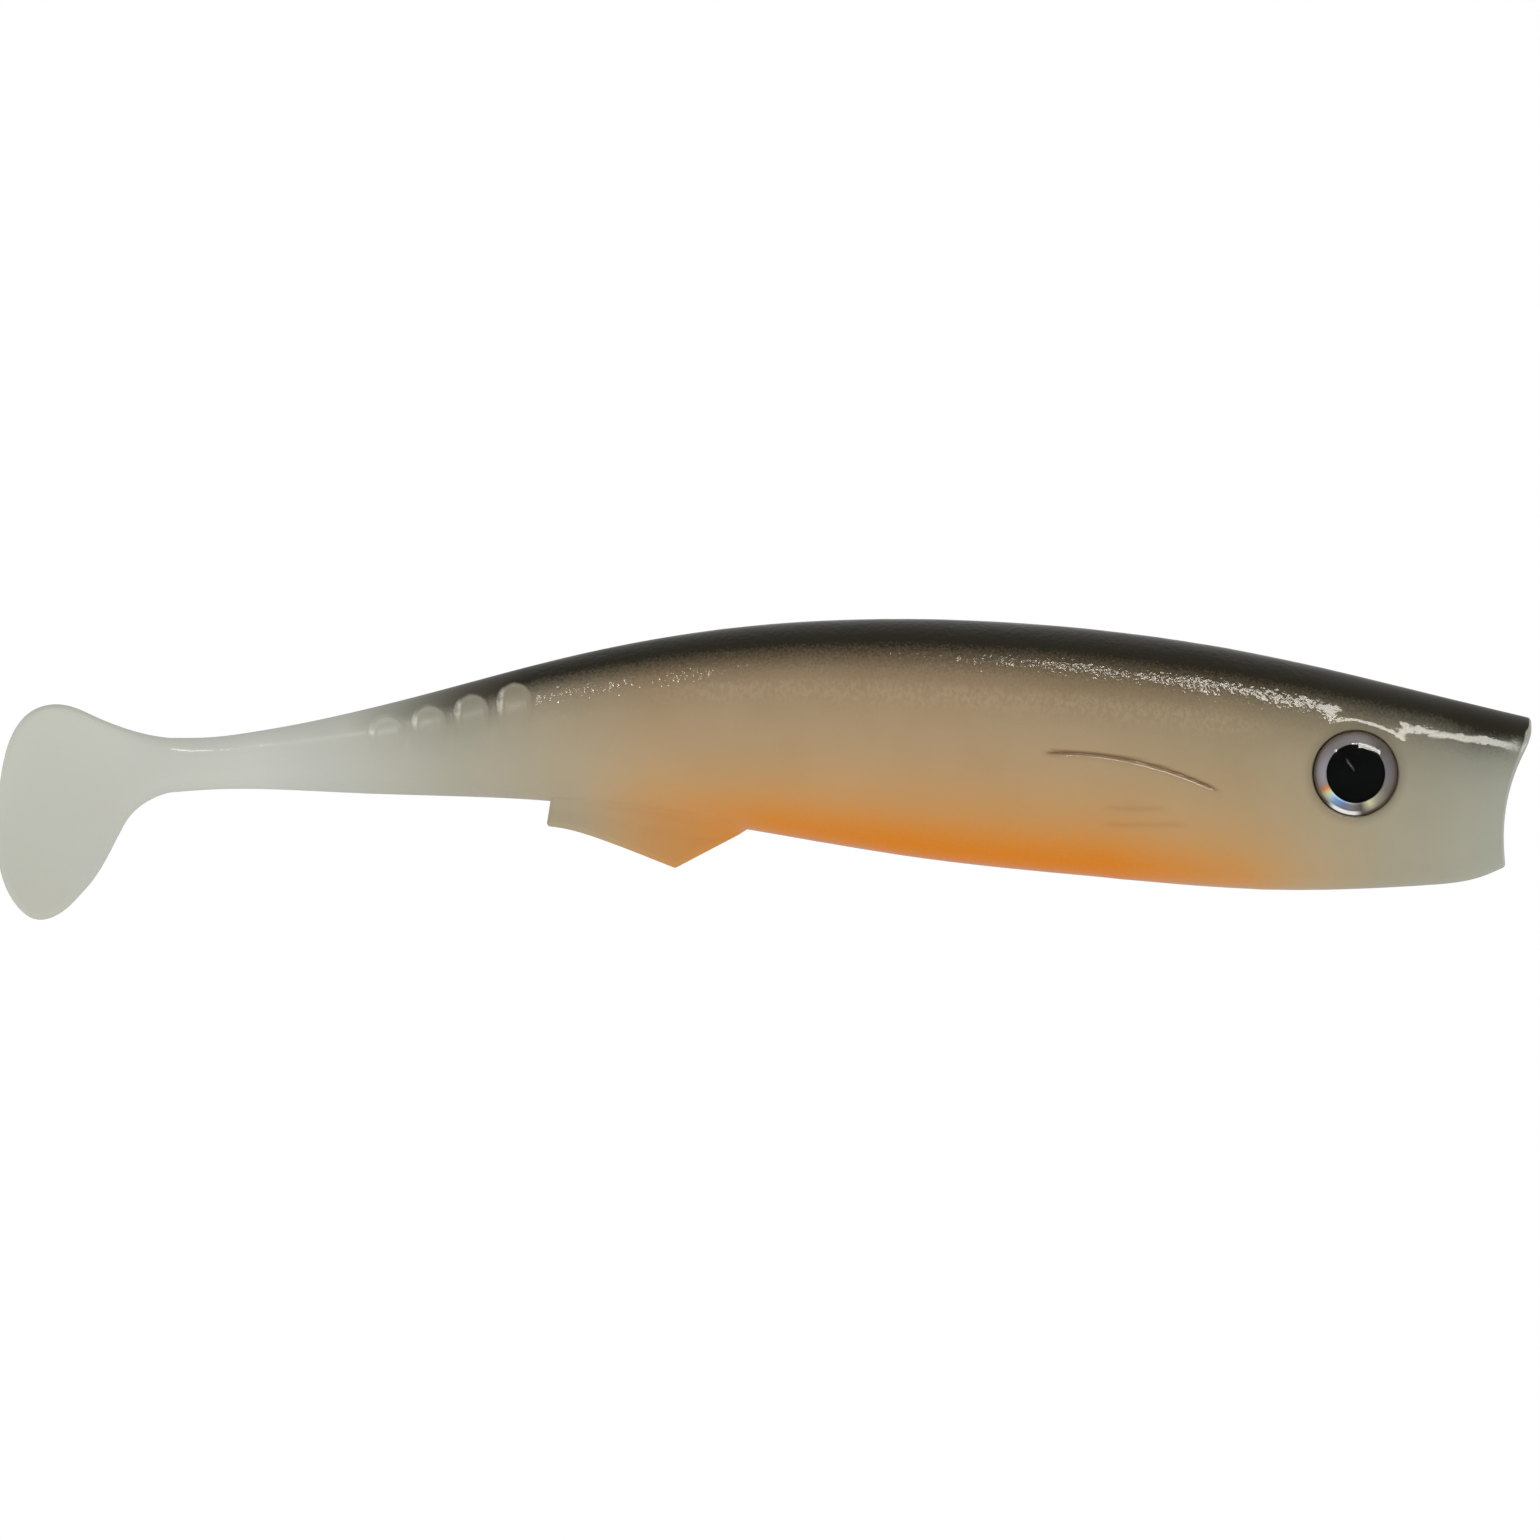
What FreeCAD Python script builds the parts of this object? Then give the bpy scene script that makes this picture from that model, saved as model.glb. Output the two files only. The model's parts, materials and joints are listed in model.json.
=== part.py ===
"""Soft-plastic swimbait, 180 mm long, in millimetres.

+X swims forwards, +Y is the fish's left side, +Z is its back. The origin is the deepest point of the
nose dish, where the hook channel starts. The moulding is one flexible piece on the real lure: here it is
cut at the places where it bends, and a web that deforms fills each cut.
"""

import FreeCAD, Part
import math
import os

from FreeCAD import Rotation, Vector

OUT_FOLDER = "parts"

# Outline of the moulding in the median plane: (x, z) of the back and of the belly, nose first.
BACK_LINE = [
    (6.0, 8.3), (-6.7, 11.35), (-23.0, 15.25), (-46.5, 19.1), (-71.0, 20.4), (-93.4, 18.9),
    (-112.0, 15.2), (-128.6, 10.8), (-142.6, 7.7), (-152.0, 6.6), (-158.0, 6.9),
]
BELLY_LINE = [
    (6.0, -4.2), (0.9, -8.7), (-3.0, -10.15), (-11.4, -10.9), (-24.0, -11.35), (-36.0, -10.8),
    (-58.2, -8.65), (-81.7, -5.5), (-88.1, -4.1), (-100.0, -2.3), (-111.0, -0.95), (-128.6, -0.2),
    (-142.0, 0.35), (-152.0, 0.35), (-158.0, -0.3),
]
HALF_WIDTH_LINE = [
    (6.0, 5.4), (-3.0, 6.3), (-12.0, 7.2), (-25.0, 8.1), (-45.0, 8.7), (-65.0, 8.5), (-85.0, 7.4),
    (-100.0, 6.3), (-112.0, 5.3), (-128.0, 4.1), (-142.0, 3.1), (-150.0, 2.6), (-158.0, 1.3),
]
SECTION_POWER = 2.25  # 2 is an ellipse, and more is squarer
SECTION_POINTS = 24
SLAB_REACH = 60.0  # wider and taller than the moulding
STATIONS = [6.0, 1.5, -3.0, -11.0, -24.0, -45.0, -65.0, -85.0, -100.0, -112.0, -124.0, -136.0, -147.0, -158.0]

# Nose: a ball-shaped dish for a round jig head, and the channel for its hook
LIP_X = 4.0
DISH_RADIUS = 13.0
DISH_TILT_DEG = 12.0
HOOK_BORE_RADIUS = 1.0
HOOK_BORE_LENGTH = 12.0

# Eyes: a foam pad, a foil ring round a pupil disc, and a domed lens, stacked in a blind socket
EYE_X, EYE_Z = -16.75, 2.3
EYE_YAW_DEG = 4.0
SOCKET_RADIUS = 5.15
SOCKET_FLOOR_Y = 5.05
PAD_RADIUS, PAD_THICKNESS = 4.9, 0.8
FOIL_RADIUS, FOIL_THICKNESS = 4.9, 0.15
PUPIL_RADIUS = 3.45
LENS_RADIUS, LENS_RIM, LENS_DOME = 5.0, 0.9, 1.6

# Tail: four flutes across each flank, then the thin stem, the wrist and the paddle
FLUTE_COUNT = 4
FLUTE_FIRST_X = -115.0
FLUTE_PITCH = 5.0
FLUTE_DEPTH = 0.9
FLUTE_WEB_LENGTH = 3.2
STEM_FLEX_X, STEM_WEB_LENGTH = -141.0, 6.0
WRIST_FLEX_X, WRIST_WEB_LENGTH = -152.5, 6.0
PADDLE_THICKNESS = 2.2
PADDLE_EDGE_RADIUS = 0.7
PADDLE_OUTLINE = [
    (-155.5, 6.75), (-159.0, 7.2), (-163.7, 8.7), (-168.4, 10.4), (-171.9, 9.5), (-174.3, 6.2),
    (-175.6, 0.0), (-176.0, -4.5), (-175.2, -9.6), (-173.1, -13.6), (-170.7, -14.9), (-167.2, -13.1),
    (-163.6, -8.8), (-160.4, -2.9), (-158.6, -0.7), (-155.5, 0.1),
]
STEM_END_X = -157.5  # where the stem's own section dies away inside the blade

# Anal fin: its root follows the belly, and a thin web lets the blade sway
FIN_ROOT_FRONT = (-88.1, -4.1)
FIN_ROOT_REAR = (-111.0, -0.95)
FIN_TIP = (-96.3, -8.8)
FIN_TRAILING = [(-100.6, -7.1), (-105.4, -5.3), (-109.4, -4.15)]
FIN_REAR_CORNER = (-111.4, -3.9)
FIN_THICKNESS = 1.4
FIN_WEB_HEIGHT = 1.0
FIN_WEB_BURIED = 1.5
FIN_WEB_SHARE = 0.96  # of the root's length, because the blade's front corner runs out to nothing


def smooth_line(points):
    """A natural cubic spline through (x, value) points, as a function of x."""
    xs, ys = zip(*sorted(points))
    n = len(xs)
    gap = [xs[i + 1] - xs[i] for i in range(n - 1)]
    slope = [(ys[i + 1] - ys[i]) / gap[i] for i in range(n - 1)]
    above, right = [0.0] * n, [0.0] * n
    for i in range(1, n - 1):
        pivot = 2 * (gap[i - 1] + gap[i]) - gap[i - 1] * above[i - 1]
        above[i] = gap[i] / pivot
        right[i] = (6 * (slope[i] - slope[i - 1]) - gap[i - 1] * right[i - 1]) / pivot
    bend = [0.0] * n
    for i in range(n - 2, 0, -1):
        bend[i] = right[i] - above[i] * bend[i + 1]

    def at(x):
        i = max(0, min(n - 2, sum(1 for knot in xs[1:] if x > knot)))
        h, a, b = gap[i], xs[i + 1] - x, x - xs[i]
        curved = (bend[i] * a**3 + bend[i + 1] * b**3) / (6 * h)
        return curved + (ys[i] / h - bend[i] * h / 6) * a + (ys[i + 1] / h - bend[i + 1] * h / 6) * b

    return at


back_z = smooth_line(BACK_LINE)
belly_z = smooth_line(BELLY_LINE)
half_width = smooth_line(HALF_WIDTH_LINE)


def section(x, inset):
    """The closed outline across the moulding at x, with each flank moved in by inset."""
    middle, half_height = (back_z(x) + belly_z(x)) / 2, (back_z(x) - belly_z(x)) / 2
    width = half_width(x) - inset
    power = 2 / SECTION_POWER
    points = []
    for i in range(SECTION_POINTS):
        angle = 2 * math.pi * i / SECTION_POINTS
        across, up = math.sin(angle), math.cos(angle)
        y = width * math.copysign(abs(across) ** power, across)
        z = middle + half_height * math.copysign(abs(up) ** power, up)
        points.append(Vector(x, y, z))
    curve = Part.BSplineCurve()
    curve.interpolate(Points=points, PeriodicFlag=True)
    return Part.Wire([curve.toShape()])


def moulding(inset=0.0):
    """The whole moulding from nose to wrist, before it is cut into segments."""
    return Part.makeLoft([section(x, inset) for x in STATIONS], True, False)


def along_x(front_x, rear_x, solid):
    """The stretch of a solid between two stations."""
    corner = Vector(rear_x, -SLAB_REACH / 2, -SLAB_REACH / 2)
    return solid.common(Part.makeBox(front_x - rear_x, SLAB_REACH, SLAB_REACH, corner))


def flute_x(index):
    return FLUTE_FIRST_X - FLUTE_PITCH * index


def dish_centre():
    tilt = math.radians(DISH_TILT_DEG)
    return Vector(math.cos(tilt), 0, -math.sin(tilt)) * DISH_RADIUS


def eye_places():
    """(side name, point on the socket's floor, outward direction) for each eye."""
    yaw = math.radians(EYE_YAW_DEG)
    for side, sign in (("left", 1), ("right", -1)):
        place = Vector(EYE_X, sign * SOCKET_FLOOR_Y, EYE_Z)
        outward = Vector(math.sin(yaw), sign * math.cos(yaw), 0)
        yield side, place, outward


def disc(radius, thickness, place, outward, lift=0.0):
    return Part.makeCylinder(radius, thickness, place + outward * lift, outward)


def eye_lens(place, outward):
    """A short cylinder under a ball-shaped cap, turned from one profile."""
    ball = (LENS_RADIUS**2 + LENS_DOME**2) / (2 * LENS_DOME)
    base = PAD_THICKNESS + FOIL_THICKNESS
    crown = base + LENS_RIM + LENS_DOME
    half_arc = math.asin(LENS_RADIUS / ball) / 2
    centre = Vector(0, 0, base)
    corner = Vector(LENS_RADIUS, 0, base)
    shoulder = Vector(LENS_RADIUS, 0, base + LENS_RIM)
    middle = Vector(ball * math.sin(half_arc), 0, crown - ball + ball * math.cos(half_arc))
    top = Vector(0, 0, crown)
    profile = [
        Part.makeLine(centre, corner),
        Part.makeLine(corner, shoulder),
        Part.Arc(shoulder, middle, top).toShape(),
        Part.makeLine(top, centre),
    ]
    lens = Part.Face(Part.Wire(profile)).revolve(Vector(0, 0, 0), Vector(0, 0, 1), 360)
    lens.Placement = FreeCAD.Placement(place, Rotation(Vector(0, 0, 1), outward))
    return lens


def eye_parts(side, place, outward):
    foil = disc(FOIL_RADIUS, FOIL_THICKNESS, place, outward, PAD_THICKNESS)
    pupil = disc(PUPIL_RADIUS, FOIL_THICKNESS, place, outward, PAD_THICKNESS)
    return {
        f"{side}_eye_pad": disc(PAD_RADIUS, PAD_THICKNESS, place, outward),
        f"{side}_iris_foil": foil.cut(pupil),
        f"{side}_pupil": pupil,
        f"{side}_eye_lens": eye_lens(place, outward),
    }


def trunk(body):
    """Head and torso in one: the nose dish, the hook channel and both eye sockets are cut out of it."""
    solid = along_x(LIP_X, flute_x(0) + FLUTE_WEB_LENGTH / 2, body)
    solid = solid.cut(Part.makeSphere(DISH_RADIUS, dish_centre()))
    mouth, inwards = Vector(LIP_X, 0, 0), Vector(-1, 0, 0)
    solid = solid.cut(Part.makeCylinder(HOOK_BORE_RADIUS, HOOK_BORE_LENGTH + LIP_X, mouth, inwards))
    for _, place, outward in eye_places():
        solid = solid.cut(Part.makeCylinder(SOCKET_RADIUS, 2 * SOCKET_RADIUS, place, outward))
    return solid


def tail_segments(body, fluted):
    """Ribs and stem pieces that stay stiff, and the webs between them that bend."""
    half_web = FLUTE_WEB_LENGTH / 2
    parts = {}
    for i in range(FLUTE_COUNT):
        parts[f"flute_web_{i + 1}"] = along_x(flute_x(i) + half_web, flute_x(i) - half_web, fluted)
        if i < FLUTE_COUNT - 1:
            parts[f"tail_rib_{i + 1}"] = along_x(flute_x(i) - half_web, flute_x(i + 1) + half_web, body)
    last_web = flute_x(FLUTE_COUNT - 1) - half_web
    stem_cuts = [STEM_FLEX_X + side * STEM_WEB_LENGTH / 2 for side in (1, -1)]
    wrist_cuts = [WRIST_FLEX_X + side * WRIST_WEB_LENGTH / 2 for side in (1, -1)]
    cuts = [last_web, *stem_cuts, *wrist_cuts]
    for i, name in enumerate(("stem_front", "stem_web", "stem_rear", "wrist_web")):
        parts[name] = along_x(cuts[i], cuts[i + 1], body)
    return parts


def tail_paddle(body):
    """A flat blade with a rounded rim, which swallows the end of the stem."""
    points = [Vector(x, -PADDLE_THICKNESS / 2, z) for x, z in PADDLE_OUTLINE]
    outline = Part.BSplineCurve()
    outline.interpolate(Points=points)
    face = Part.Face(Part.Wire([outline.toShape(), Part.makeLine(points[-1], points[0])]))
    blade = face.extrude(Vector(0, PADDLE_THICKNESS, 0))
    rim = [edge for edge in blade.Edges if edge.Curve.TypeId == "Part::GeomBSplineCurve"]
    blade = blade.makeFillet(PADDLE_EDGE_RADIUS, rim)
    stem_end = along_x(WRIST_FLEX_X - WRIST_WEB_LENGTH / 2, STEM_END_X, body)
    return stem_end.fuse(blade).removeSplitter()


def fin_place(x, z):
    return Vector(x, -FIN_THICKNESS / 2, z)


def fin_root(share, drop):
    """A point share of the way from the root's rear end to its front end, drop below the root line."""
    (rear_x, rear_z), (front_x, front_z) = FIN_ROOT_REAR, FIN_ROOT_FRONT
    return fin_place(rear_x + share * (front_x - rear_x), rear_z + share * (front_z - rear_z) - drop)


def plate(edges):
    return Part.Face(Part.Wire(edges)).extrude(Vector(0, FIN_THICKNESS, 0))


def anal_fin(body):
    """The blade, and the web that ties it to the belly."""
    front, rear = fin_root(FIN_WEB_SHARE, FIN_WEB_HEIGHT), fin_root(0, FIN_WEB_HEIGHT)
    tip, corner = fin_place(*FIN_TIP), fin_place(*FIN_REAR_CORNER)
    trailing = Part.BSplineCurve()
    trailing.interpolate(Points=[tip, *[fin_place(x, z) for x, z in FIN_TRAILING], corner])
    leading, back, root = Part.makeLine(front, tip), Part.makeLine(corner, rear), Part.makeLine(rear, front)
    outline = [leading, trailing.toShape(), back, root]
    buried = [fin_root(FIN_WEB_SHARE, -FIN_WEB_BURIED), fin_root(0, -FIN_WEB_BURIED)]
    web = plate(Part.makePolygon([rear, front, *buried, rear]).Edges)
    return {"anal_fin": plate(outline), "anal_fin_web": web.cut(body)}


def all_parts():
    body, fluted = moulding(), moulding(FLUTE_DEPTH)
    parts = {"trunk": trunk(body), **tail_segments(body, fluted), "tail_paddle": tail_paddle(body)}
    parts.update(anal_fin(body))
    for side, place, outward in eye_places():
        parts.update(eye_parts(side, place, outward))
    return parts


def main():
    os.makedirs(OUT_FOLDER, exist_ok=True)
    for name, shape in all_parts().items():
        solids = shape.Solids
        whole = solids[0] if len(solids) == 1 else Part.makeCompound(solids)
        whole.exportStep(os.path.join(OUT_FOLDER, name + ".step"))
        print(f"{name}: {len(solids)} solid, {whole.Volume:.1f} mm3, valid {whole.isValid()}")


main()
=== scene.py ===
"""Looks for a soft-plastic swimbait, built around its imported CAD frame.

+X is forwards, +Y the lure's left and +Z its back. The origin is the deepest point of the nose dish.
Shapes are worked out in millimetres and turned into metres when a mesh is made.
"""

import json
import math

import bmesh
import bpy
import numpy as np
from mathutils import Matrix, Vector, noise
from mathutils.bvhtree import BVHTree


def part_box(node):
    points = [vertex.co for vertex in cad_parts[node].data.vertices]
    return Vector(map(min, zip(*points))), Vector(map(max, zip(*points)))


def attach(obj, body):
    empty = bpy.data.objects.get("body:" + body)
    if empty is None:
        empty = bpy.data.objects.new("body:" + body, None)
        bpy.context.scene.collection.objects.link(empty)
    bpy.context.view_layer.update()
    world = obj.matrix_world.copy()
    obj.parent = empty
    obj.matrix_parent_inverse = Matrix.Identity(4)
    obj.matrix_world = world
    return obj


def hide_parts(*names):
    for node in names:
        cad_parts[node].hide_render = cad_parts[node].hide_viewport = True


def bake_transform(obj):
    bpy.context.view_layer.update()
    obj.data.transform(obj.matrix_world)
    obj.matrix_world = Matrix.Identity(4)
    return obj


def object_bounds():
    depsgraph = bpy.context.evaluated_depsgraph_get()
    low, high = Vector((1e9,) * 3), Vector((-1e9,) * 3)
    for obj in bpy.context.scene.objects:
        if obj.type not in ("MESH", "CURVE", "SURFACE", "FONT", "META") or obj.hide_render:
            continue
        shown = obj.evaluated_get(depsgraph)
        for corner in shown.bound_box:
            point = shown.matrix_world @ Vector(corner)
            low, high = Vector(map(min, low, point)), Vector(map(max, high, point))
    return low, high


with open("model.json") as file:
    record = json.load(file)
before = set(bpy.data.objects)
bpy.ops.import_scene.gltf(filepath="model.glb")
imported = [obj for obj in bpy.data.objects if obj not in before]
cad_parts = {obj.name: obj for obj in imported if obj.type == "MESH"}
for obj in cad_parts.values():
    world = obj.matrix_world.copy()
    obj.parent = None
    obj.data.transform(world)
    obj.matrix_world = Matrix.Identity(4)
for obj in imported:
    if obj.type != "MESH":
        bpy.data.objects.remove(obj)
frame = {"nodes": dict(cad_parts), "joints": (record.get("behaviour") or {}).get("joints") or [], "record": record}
cad_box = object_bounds()

MM = 0.001
JOINT_X = {joint["name"]: joint["pos_m"][0] / MM for joint in frame["joints"]}
FLUTE_X = [JOINT_X[f"flute_flex_{i + 1}"] for i in range(4)]
FLUTE_PITCH = FLUTE_X[0] - FLUTE_X[1]

# The skin's mesh: points round half a ring, rows, and millimetres between rows
HALF_RING = 120
NOSE_ROWS = 28
NOSE_START = -9.0
BLADE_ROWS = 110
HEAD_SPACING = 0.36
TORSO_SPACING = 0.5
FLUTE_SPACING = 0.15
STEM_SPACING = 0.3

# A section's outline is a superellipse: squarish, and rounder at the snout and over the flutes
SECTION_POWER = 2.25
ROUNDER_POWER = 1.97
SNOUT_TURN = (-22, -6)
TORSO_TURN = (-88, -100)
STEM_TURN = (-146, -136)

# Nose
HOOK_BORE, NOSE_SEAT = frame["record"]["mounts"][:2]
BORE_RADIUS = HOOK_BORE["dims"]["r_mm"]
BORE_DEPTH = HOOK_BORE["dims"]["length_mm"]
BORE_ROWS = 13
DISH_RADIUS = 13.0
DISH_CENTRE = Vector(NOSE_SEAT["axis"]) * DISH_RADIUS
DISH_ROWS = 26
LIP_X = cad_box[1].x / MM
LIP_ROUNDING = 0.35
LIP_HEIGHT = 0.1
RIM_ROUNDING = 0.6

# Eyes
SOCKET_RADIUS = 5.08
SOCKET_ROUNDING = 0.42
PAD_THICKNESS = 0.8
ORBIT_HEIGHT = 0.22
ORBIT_RADII = (7.8, 5.9)
SOCKET_RINGS = 14
PATCH_RINGS = 22
PATCH_FADE = 8
PUPIL_RADIUS = 3.45
FOIL_RADIUS = 4.9
PRINT_THICKNESS = 0.14
LENS_RADIUS = 5.0
LENS_DOME = 1.84
LENS_SHOULDER = 0.28

# Flutes and pectoral crease
FLUTE_HALF_WIDTH = 2.1
FLUTE_BELOW_BACK = 1.3
FLUTE_DEPTH = 0.46
FLUTE_WALL = (-0.3, 0.85)
FLUTE_RUN_OUT = (-0.6, 0.62)
CREASE_TOP = (-51.0, 4.75)
CREASE_ENDS = (-53.5, -32.2)
CREASE_CURVE = 0.01344
CREASE_REACH = 2.2
CREASE_DEPTH = 0.25
CREASE_WIDTH = 0.17
SWELLING_HEIGHT = 0.22
SWELLING_LIP = 0.75
SWELLING_FADE = (6.5, 1.2)

# The wrinkles' rear and front ends, height at the middle and slope
WRINKLES = [(-47.0, -35.5, -3.7, 0.0), (-47.0, -38.0, -1.8, -0.02)]
WRINKLE_DEPTH = 0.07
WRINKLE_WIDTH = 0.3
PARTING_HEIGHT = 0.05
UNEVENNESS = 0.05

# Tail blade
BLADE_HALF_THICKNESS = 1.05
BLADE_EDGE = 0.9
BLADE_THINS_BY = 0.34

# Further than any part of the lure
FAR = 60.0


# ---- curves and the CAD's outlines


def spline(knots, values):
    """A natural cubic spline through values at rising knots, as a function of an array."""
    knots, values = np.asarray(knots, float), np.asarray(values, float)
    gap, count = np.diff(knots), len(knots)
    slope = np.diff(values) / gap
    system, target = np.eye(count), np.zeros(count)
    for i in range(1, count - 1):
        system[i, i - 1 : i + 2] = gap[i - 1], 2 * (gap[i - 1] + gap[i]), gap[i]
        target[i] = 6 * (slope[i] - slope[i - 1])
    bend = np.linalg.solve(system, target)

    def at(x):
        i = np.clip(np.searchsorted(knots, x) - 1, 0, count - 2)
        h, a, b = gap[i], knots[i + 1] - x, x - knots[i]
        curved = (bend[i] * a**3 + bend[i + 1] * b**3) / (6 * h)
        start, end = values[i] / h - bend[i] * h / 6, values[i + 1] / h - bend[i + 1] * h / 6
        return curved + start * a + end * b

    return at


def smooth_step(low, high, x):
    t = np.clip((x - low) / (high - low), 0, 1)
    return t * t * (3 - 2 * t)


def cad_surface(*names):
    """A tree to cast rays at some CAD nodes, in millimetres."""
    points, faces = [], []
    for name in names:
        mesh = frame["nodes"][name].data
        faces += [[corner + len(points) for corner in face.vertices] for face in mesh.polygons]
        points += [vertex.co / MM for vertex in mesh.vertices]
    return BVHTree.FromPolygons(points, faces)


def probe(tree, start, towards):
    return tree.ray_cast(Vector(start), Vector(towards))[0]


RIBS = ["tail_rib_1", "tail_rib_2", "tail_rib_3"]
BODY_NODES = ["trunk", *RIBS, "stem_front", "stem_web", "stem_rear", "wrist_web"]
RIB_MIDDLES = [x - FLUTE_PITCH / 2 for x in FLUTE_X[:3]]
STEM_STATIONS = [-154.5, -151.0, -146.0, -140.0, -134.0]
TRUNK_STATIONS = [-110.0, -101.0, -91.0, -80.0, -69.0, -58.0, -47.0, -36.0, -25.0, -8.0, -4.0, -1.5, 0.5]
BODY_STATIONS = [*STEM_STATIONS, *RIB_MIDDLES[::-1], *TRUNK_STATIONS]
LIP_STATION = 3.7


def body_outlines():
    """The back, the belly and the half width along the CAD's moulding, as functions of x."""
    tree = cad_surface(*BODY_NODES)
    back_stations = [*BODY_STATIONS, LIP_STATION]
    back = [probe(tree, (x, 0, FAR), (0, 0, -1)).z for x in back_stations]
    belly = [probe(tree, (x, 0, -FAR), (0, 0, 1)).z for x in BODY_STATIONS]
    middle = [(high + low) / 2 for high, low in zip(back, belly)]
    width = [probe(tree, (x, FAR, z), (0, -1, 0)).y for x, z in zip(BODY_STATIONS, middle)]
    return spline(back_stations, back), spline(BODY_STATIONS, belly), spline(BODY_STATIONS, width)


back_z, belly_z, body_half_width = body_outlines()


def middle_z(x):
    return (back_z(x) + belly_z(x)) / 2


def half_height(x):
    return (back_z(x) - belly_z(x)) / 2


BLADE_FRONT = -155.5
WRIST_RUN_IN = [BLADE_FRONT + 9, BLADE_FRONT + 4, BLADE_FRONT]

# The directions from the blade's middle in which its edge is found, in degrees
BLADE_TOP_ANGLES = [72, 82, 93, 104, 118, 135, 155, 175]
BLADE_END_ANGLE = 192
BLADE_BOTTOM_ANGLES = [-12, -24, -38, -52, -66, -80, -93, -103, -113, -128, -148]


def blade_outlines():
    """The blade's top and bottom edges: x and z from 0 at the wrist to 1 at the rearmost point."""
    low, high = (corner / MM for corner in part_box("tail_paddle"))
    centre = (low + high) / 2
    tree = cad_surface("tail_paddle")
    top = (back_z, [*BLADE_TOP_ANGLES, BLADE_END_ANGLE])
    bottom = (belly_z, [*BLADE_BOTTOM_ANGLES, BLADE_END_ANGLE - 360])
    edges = []
    for line, angles in (top, bottom):
        points = [(x, float(line(x))) for x in WRIST_RUN_IN]
        for angle in angles:
            across, up = math.cos(math.radians(angle)), math.sin(math.radians(angle))
            hit = probe(tree, (centre.x, 0, centre.z), (across, 0, up))
            points.append((hit.x, hit.z))
        points = np.array(points)
        along = np.concatenate([[0], np.cumsum(np.hypot(*np.diff(points, axis=0).T))])
        start = along[len(WRIST_RUN_IN) - 1]
        along = (along - start) / (along[-1] - start)
        edges.append((spline(along, points[:, 0]), spline(along, points[:, 1])))
    return edges


# ---- eyes, as the CAD places them


def box_centre(name):
    """The middle of a CAD node's box, in metres."""
    low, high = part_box(name)
    return (low + high) / 2


PAD_CENTRE = box_centre("left_eye_pad")
EYE_AXIS = (box_centre("left_pupil") - PAD_CENTRE).normalized()
SOCKET_FLOOR = PAD_CENTRE / MM - EYE_AXIS * PAD_THICKNESS / 2


def from_eye(x, z):
    """The distance from the eye's middle in side view."""
    return np.hypot(x - SOCKET_FLOOR.x, z - SOCKET_FLOOR.z)


# ---- the moulding's skin as one grid


def rows_between(front, rear, spacing):
    count = max(1, round((front - rear) / spacing))
    return list(np.linspace(front, rear, count + 1)[1:])


# Where the skin is divided: the CAD is stiff there
SEAM_X = [
    FLUTE_X[0] + 0.6 * FLUTE_PITCH,
    *RIB_MIDDLES,
    FLUTE_X[3] - 0.6 * FLUTE_PITCH,
    (JOINT_X["stem_flex"] + JOINT_X["tail_kick"]) / 2,
]


def ring_angle():
    return np.linspace(0, np.pi, HALF_RING + 1)


def chord_share(angle):
    """From 1 at the back to -1 at the belly, spaced evenly round a section's outline."""
    up = np.cos(angle)
    return np.sign(up) * np.abs(up) ** (2 / SECTION_POWER)


def dish_x(y, z):
    """The dish's surface, cut off with a soft corner where it would reach past the lip."""
    ball = DISH_CENTRE.x - np.sqrt(np.maximum(DISH_RADIUS**2 - y**2 - (z - DISH_CENTRE.z) ** 2, 0))
    return -np.logaddexp(-ball / LIP_ROUNDING, -LIP_X / LIP_ROUNDING) * LIP_ROUNDING


def section_power(x):
    """How square a section is: the snout and the flutes are rounder than the rest."""
    fluted = smooth_step(*TORSO_TURN, x) * smooth_step(*STEM_TURN, x)
    return SECTION_POWER + (ROUNDER_POWER - SECTION_POWER) * (smooth_step(*SNOUT_TURN, x) + fluted)


def section_width(x, share):
    """Half the section's width at x, at a share of its half height from its middle."""
    power = section_power(x)
    return body_half_width(x) * (1 - np.abs(share) ** power) ** (1 / power)


def section_z(x, share):
    return middle_z(x) + half_height(x) * share


def rim_x(share):
    """Where each of a ring's lines runs out at the dish, closed in on step by step."""
    x = np.zeros_like(share)
    for _ in range(30):
        x = dish_x(section_width(x, share), section_z(x, share))
    return x


def side_grid():
    """The skin's rows in side view, from the dish's rim to the wrist: arrays of x and z."""
    share = chord_share(ring_angle())
    rim = rim_x(share) - RIM_ROUNDING * 0.7
    nose = [NOSE_START + (rim - NOSE_START) * (1 - i / NOSE_ROWS) for i in range(NOSE_ROWS + 1)]
    behind_crease = CREASE_ENDS[0] - 1.5
    plain = rows_between(NOSE_START, behind_crease, HEAD_SPACING)
    plain += rows_between(behind_crease, SEAM_X[0], TORSO_SPACING)
    for front, rear in zip(SEAM_X[:5], SEAM_X[1:5]):
        plain += rows_between(front, rear, FLUTE_SPACING)
    plain += rows_between(SEAM_X[4], SEAM_X[5], STEM_SPACING)
    plain += rows_between(SEAM_X[5], BLADE_FRONT, STEM_SPACING)
    x = np.array(nose + [np.full_like(share, value) for value in plain])
    return x, section_z(x, share)


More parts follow.
